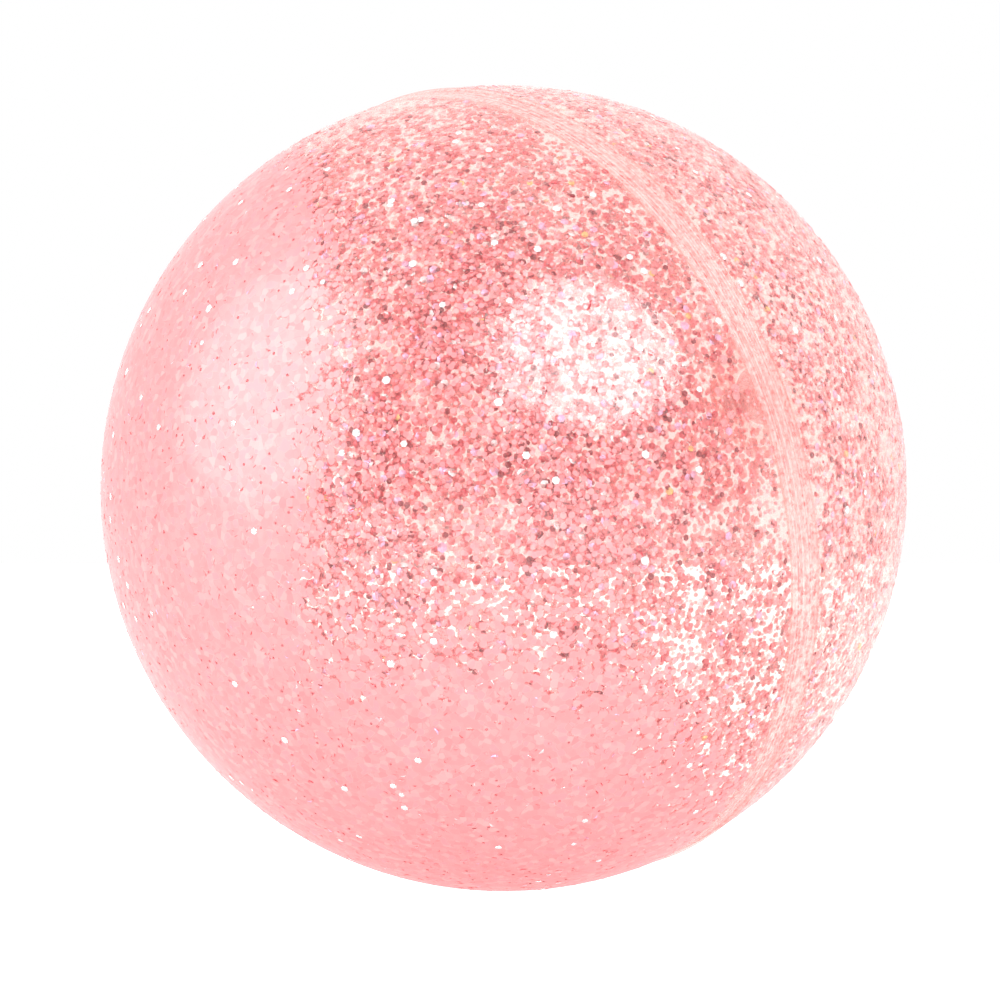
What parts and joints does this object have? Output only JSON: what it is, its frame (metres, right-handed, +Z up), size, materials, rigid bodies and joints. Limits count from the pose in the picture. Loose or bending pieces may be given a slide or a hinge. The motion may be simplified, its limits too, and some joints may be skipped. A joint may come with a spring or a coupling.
{
  "type": "inflatable ball",
  "caption": "Round inflatable ball of clear pink glitter film, two half shells welded on one great circle, with a push-in air valve, check flap and strapped stopper.",
  "frame": {"origin": "the middle of the small flat on which the full ball rests, on the surface it stands on", "axes": "+Z up. The valve axis leaves the ball level-turned 43 degrees from +X towards +Y and rises 15 degrees. The weld is the great circle square to it."},
  "size_m": [0.2297, 0.2299, 0.2294],
  "materials": {
    "shell_film": "glossy clear pink PVC film with glitter in it",
    "weld_film": "glossy clear pink PVC, welded, no glitter",
    "valve_pvc": "soft clear PVC, moulded, satin"
  },
  "bodies": {
    "ball": {"front_shell": "shell_film", "rear_shell": "shell_film", "seam_weld": "weld_film", "valve_flange": "valve_pvc", "valve_web": "valve_pvc"},
    "stem": {"valve_stem": "valve_pvc", "flap_seat": "valve_pvc"},
    "stopper": {"stopper_plug": "valve_pvc", "stopper_strap": "valve_pvc"},
    "flap": {"check_flap": "valve_pvc"}
  },
  "joints": [
    {"name": "valve_push", "type": "slide", "parent": "ball", "child": "stem", "axis": [0.7064, 0.6588, 0.2588], "range_m": [0, 0.011], "deforming": ["valve_web"]},
    {"name": "stopper_swing", "type": "hinge", "parent": "stem", "child": "stopper", "pos_m": [0.08473, 0.07901, 0.13479], "axis": [-0.682, 0.7314, 0], "range_deg": [0, 165]},
    {"name": "flap_open", "type": "hinge", "parent": "stem", "child": "flap", "pos_m": [0.07093, 0.06615, 0.14568], "axis": [-0.682, 0.7314, 0], "range_deg": [0, 60], "stiffness_Nm_per_rad": 0.00002, "springref_deg": -20.05}
  ]
}
